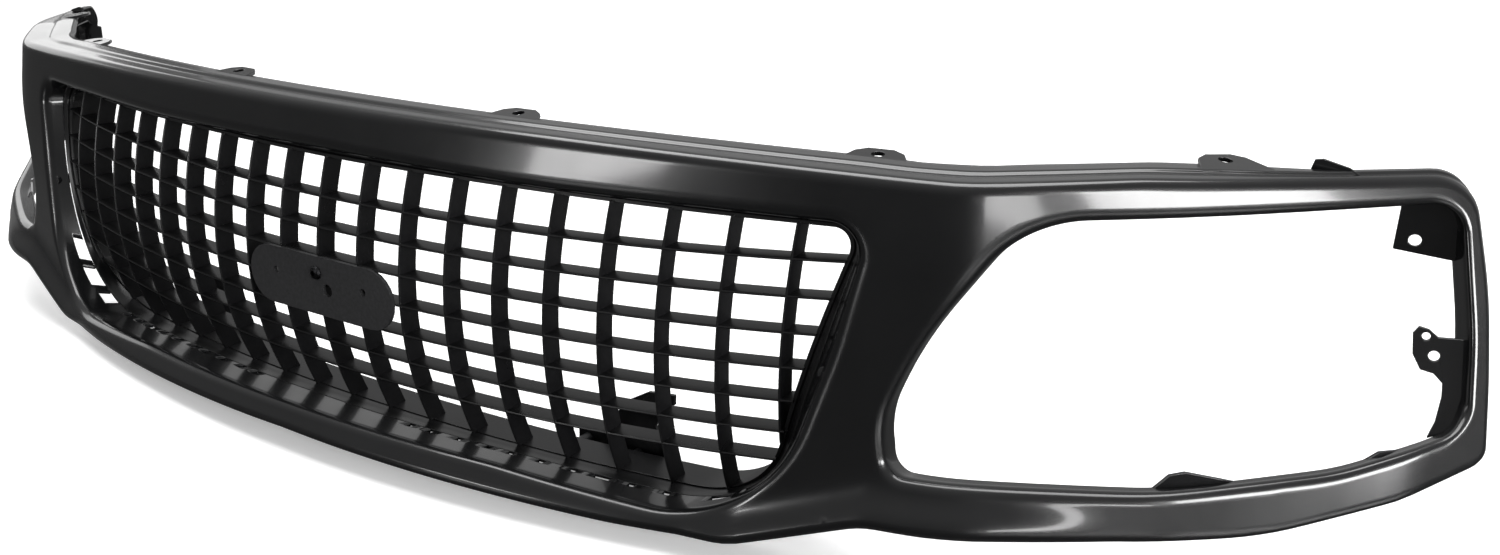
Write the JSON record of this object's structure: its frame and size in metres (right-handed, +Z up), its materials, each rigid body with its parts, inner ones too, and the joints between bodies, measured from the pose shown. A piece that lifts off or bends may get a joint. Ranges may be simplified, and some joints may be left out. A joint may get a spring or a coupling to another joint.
{
  "type": "vehicle front grille",
  "caption": "Wide one-piece front grille shell with a slatted egg-crate insert, a headlamp surround at each side and a blank rounded emblem seat.",
  "frame": {"origin": "centre of the front face of the emblem seat plate", "axes": "+X to the viewer's right when facing the front, +Z up, the front looks along -Y"},
  "size_m": [1.6352, 0.3517, 0.2801],
  "materials": {
    "gloss_black_shell": "smooth semi-gloss black moulding",
    "satin_black_insert": "satin black moulding with a fine grain",
    "black_screw": "black coated steel",
    "zinc_screw": "zinc plated steel"
  },
  "bodies": {
    "root": {"grille_shell": "gloss_black_shell", "grille_insert": "satin_black_insert", "emblem_plate": "satin_black_insert", "emblem_plate_screw": "black_screw", "insert_screw_01": "zinc_screw", "insert_screw_02": "zinc_screw", "insert_screw_03": "zinc_screw", "insert_screw_04": "zinc_screw", "insert_screw_05": "zinc_screw", "insert_screw_06": "zinc_screw", "insert_screw_07": "zinc_screw", "insert_screw_08": "zinc_screw", "insert_screw_09": "zinc_screw", "insert_screw_10": "zinc_screw", "insert_screw_11": "zinc_screw", "lower_bracket_left": "satin_black_insert", "lower_bracket_right": "satin_black_insert", "bracket_screw_01": "zinc_screw", "bracket_screw_02": "zinc_screw", "bracket_screw_03": "zinc_screw", "bracket_screw_04": "zinc_screw"}
  },
  "joints": []
}
